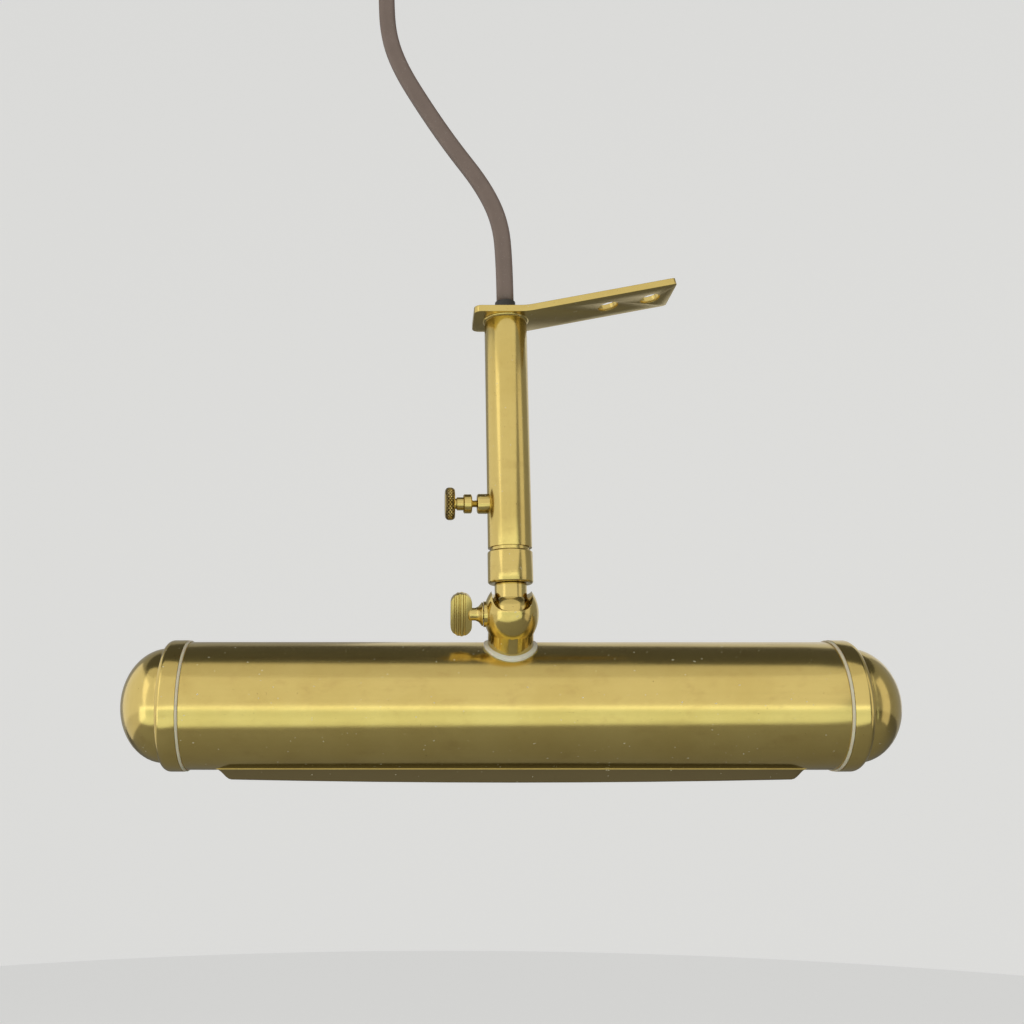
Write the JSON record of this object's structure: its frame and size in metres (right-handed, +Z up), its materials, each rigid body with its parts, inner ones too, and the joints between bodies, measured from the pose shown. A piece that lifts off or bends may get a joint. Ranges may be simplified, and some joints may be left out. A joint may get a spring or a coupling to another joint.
{
  "type": "clamp-joint tube lamp",
  "caption": "Brass tube-shade lamp on a clamped ball joint and sliding stem under a bent bracket strip, with cord, in-line switch and plug.",
  "frame": {"origin": "middle of the bracket arm's upper face, halfway between its two screw holes", "axes": "+X along the shade towards the arm's free end, +Y to the back, +Z up; the pictured pose is the rest pose"},
  "size_m": [0.3204, 0.0563, 0.5209],
  "materials": {
    "brass": "satin",
    "brass_screw": "satin",
    "black_plastic": "satin",
    "white_nylon": "satin",
    "cream_nylon": "satin",
    "steel": "satin",
    "phenolic": "satin",
    "brown_pvc": "satin",
    "brown_switch": "satin",
    "glass": "clear",
    "filament": "satin",
    "wire_pvc": "satin"
  },
  "bodies": {
    "bracket": {"mounting_bracket": "brass", "outer_tube": "brass", "braze_bead": "brass", "clamp_boss": "brass", "cord_grommet": "black_plastic", "cord_in_stem": "brown_pvc", "cord_rise": "brown_pvc", "switch_case_front": "brown_switch", "switch_case_back": "brown_switch", "switch_screws": "steel", "cord_link": "brown_pvc", "cord_coil": "brown_pvc", "coil_tie": "black_plastic", "cord_tail": "brown_pvc", "plug_body": "brown_switch", "plug_blades": "brass_screw"},
    "slider": {"inner_tube": "brass", "coupling_collar": "brass"},
    "ball": {"ball_stem": "brass"},
    "head": {"swivel_cup": "brass", "saddle_washer": "white_nylon", "hollow_nipple": "brass", "inner_saddle": "brass", "lock_nut": "steel", "socket_rail": "steel", "shade_tube": "brass", "end_cap_left": "brass", "end_cap_right": "brass", "cap_ring_left": "cream_nylon", "cap_ring_right": "cream_nylon", "holder_rivet_left": "steel", "holder_rivet_right": "steel", "lamp_holder_left": "phenolic", "lamp_holder_right": "phenolic", "contact_shell_left": "brass_screw", "contact_shell_right": "brass_screw", "bulb_base_left": "brass_screw", "bulb_base_right": "brass_screw", "bulb_glass_left": "glass", "bulb_glass_right": "glass", "bulb_filament_left": "filament", "bulb_filament_right": "filament", "lead_wires_left": "wire_pvc", "lead_wires_right": "wire_pvc"},
    "thumb_pad": {"thumb_pad": "white_nylon"},
    "thumb_screw": {"thumb_screw": "brass_screw"},
    "wing_pad": {"wing_pad": "white_nylon"},
    "wing_screw": {"wing_screw": "brass_screw"},
    "rocker": {"switch_rocker": "brown_switch"}
  },
  "joints": [
    {"name": "stem_slide", "type": "slide", "parent": "bracket", "child": "slider", "axis": [0, 0, -1], "range_m": [0, 0.06]},
    {"name": "stem_turn", "type": "hinge", "parent": "slider", "child": "ball", "pos_m": [-0.05098, 0, -0.11777], "axis": [0, 0, 1], "range_deg": [-170, 170]},
    {"name": "knuckle_tilt", "type": "hinge", "parent": "ball", "child": "head", "pos_m": [-0.05098, 0, -0.13277], "axis": [1, 0, 0], "range_deg": [-55.5, 0.5]},
    {"name": "thumb_travel", "type": "slide", "parent": "bracket", "child": "thumb_pad", "axis": [-1, 0, 0], "range_m": [0, 0.0015]},
    {"name": "thumb_turn", "type": "hinge", "parent": "thumb_pad", "child": "thumb_screw", "pos_m": [-0.05098, 0, -0.08867], "axis": [-1, 0, 0], "range_deg": [0, 1080]},
    {"name": "wing_travel", "type": "slide", "parent": "head", "child": "wing_pad", "axis": [-1, 0, 0], "range_m": [0, 0.0014]},
    {"name": "wing_turn", "type": "hinge", "parent": "wing_pad", "child": "wing_screw", "pos_m": [-0.05098, 0, -0.13277], "axis": [-1, 0, 0], "range_deg": [0, 720]},
    {"name": "rocker_press", "type": "hinge", "parent": "bracket", "child": "rocker", "pos_m": [-0.10118, -0.0005, 0.19223], "axis": [1, 0, 0], "range_deg": [-14, 0]}
  ],
  "couplings": [
    {"joint": "thumb_travel", "follows": "thumb_turn", "m_per_rad": 0.000079577},
    {"joint": "wing_travel", "follows": "wing_turn", "m_per_rad": 0.00011141}
  ]
}
